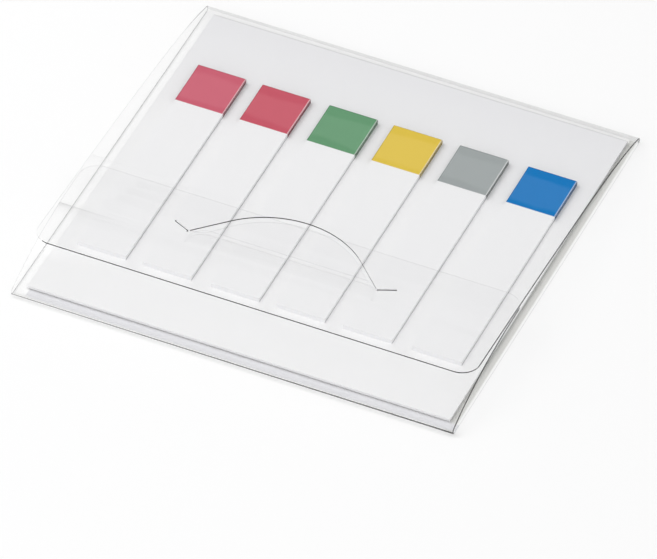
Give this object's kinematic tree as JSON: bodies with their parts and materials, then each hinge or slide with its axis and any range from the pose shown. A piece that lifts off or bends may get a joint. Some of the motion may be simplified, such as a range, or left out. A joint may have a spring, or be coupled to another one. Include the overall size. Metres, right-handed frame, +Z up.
{
  "type": "set of film index flags in a wallet",
  "caption": "Pads of narrow film index flags with coloured ends, side by side on a white card in a clear film wallet closed by a tongue and slit.",
  "frame": {"origin": "centre of the wallet's outline on the surface that it lies on", "axes": "+X along the folds to the right, +Y from the front fold to the hinge fold, +Z up from the surface"},
  "size_m": [0.0722, 0.0698, 0.0061],
  "materials": {
    "clear_film": "clear, glossy, thin film",
    "white_card": "matt white card",
    "pink_flags": "satin film, pink end, clear body",
    "red_flags": "satin film, red end, clear body",
    "green_flags": "satin film, green end, clear body",
    "yellow_flags": "satin film, yellow end, clear body",
    "grey_flags": "satin film, grey end, clear body",
    "blue_flags": "satin film, blue end, clear body"
  },
  "bodies": {
    "root": {"wallet": "clear_film", "backing_card": "white_card", "flag_pad_1": "pink_flags", "flag_pad_2": "red_flags", "flag_pad_3": "green_flags", "flag_pad_4": "yellow_flags", "flag_pad_5": "grey_flags", "flag_pad_6": "blue_flags"}
  },
  "joints": []
}
